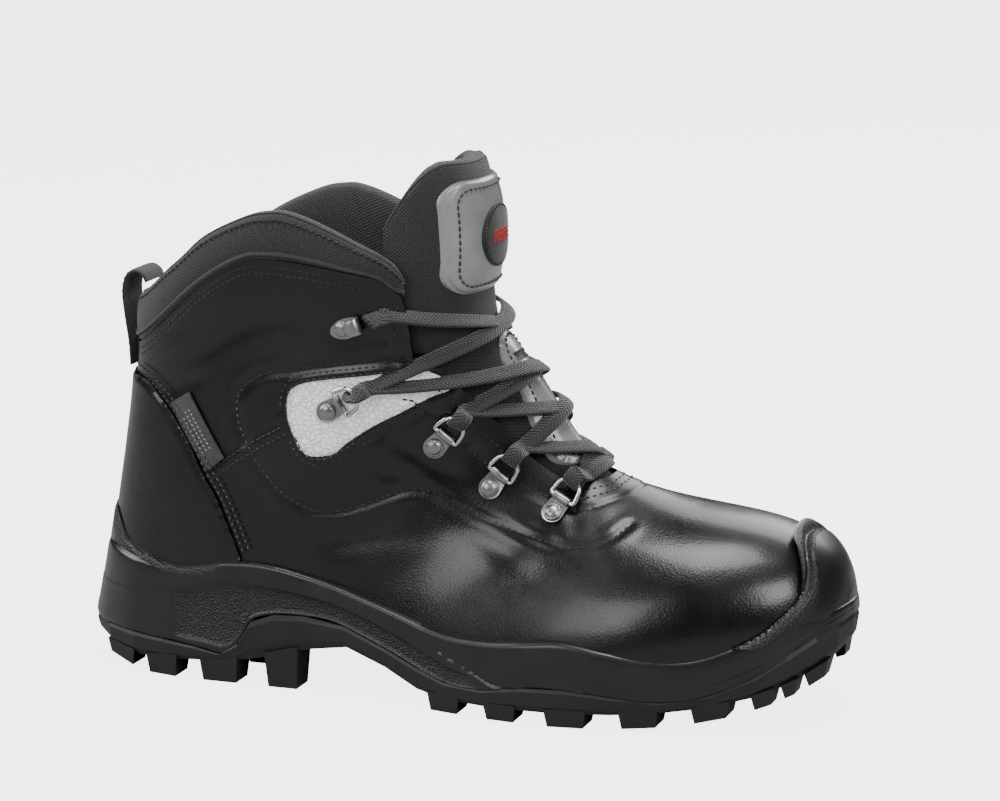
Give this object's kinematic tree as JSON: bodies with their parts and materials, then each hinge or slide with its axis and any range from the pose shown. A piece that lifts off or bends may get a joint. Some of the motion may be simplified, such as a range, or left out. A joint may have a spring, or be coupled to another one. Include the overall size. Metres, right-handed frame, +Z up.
{
  "type": "metatarsal guard work boot",
  "caption": "Black leather ankle work boot with a padded collar and tongue, ring-eyelet lacing, a protective toe form and a lugged two-layer sole; stands on its heel and forefoot lugs.",
  "frame": {"origin": "on the floor under the middle of the boot's bounding box", "axes": "+X from heel to toe, +Y towards the inner side of the foot, +Z up"},
  "size_m": [0.315, 0.1062, 0.2093],
  "materials": {
    "leather": "black full-grain leather, waxed and polished",
    "leather_patch": "smooth glossy black leather",
    "woven_cloth": "dense dark woven nylon",
    "rubber": "matte dark grey rubber",
    "polyurethane": "satin black moulded polyurethane",
    "insole_felt": "dark felted cloth",
    "light_panel": "white to silver embossed textile",
    "label": "black woven label",
    "webbing": "black webbing",
    "lace": "black flat braid",
    "nickel": "dark nickel-plated steel"
  },
  "bodies": {
    "root": {"collar": "woven_cloth", "d_ring_inner_1": "nickel", "d_ring_inner_2": "nickel", "d_ring_inner_3": "nickel", "d_ring_inner_4": "nickel", "d_ring_outer_1": "nickel", "d_ring_outer_2": "nickel", "d_ring_outer_3": "nickel", "d_ring_outer_4": "nickel", "eyelet_plate_inner_1": "nickel", "eyelet_plate_inner_2": "nickel", "eyelet_plate_inner_3": "nickel", "eyelet_plate_inner_4": "nickel", "eyelet_plate_outer_1": "nickel", "eyelet_plate_outer_2": "nickel", "eyelet_plate_outer_3": "nickel", "eyelet_plate_outer_4": "nickel", "heel_counter": "leather", "insole": "insole_felt", "label_tab": "label", "lace_hook_inner": "nickel", "lace_hook_outer": "nickel", "laces": "lace", "midsole": "polyurethane", "outsole": "rubber", "pull_loop": "webbing", "side_panel_inner": "light_panel", "side_panel_outer": "light_panel", "tongue": "woven_cloth", "tongue_badge": "label", "tongue_patch": "leather_patch", "tongue_strip": "leather_patch", "upper": "leather"}
  },
  "joints": []
}
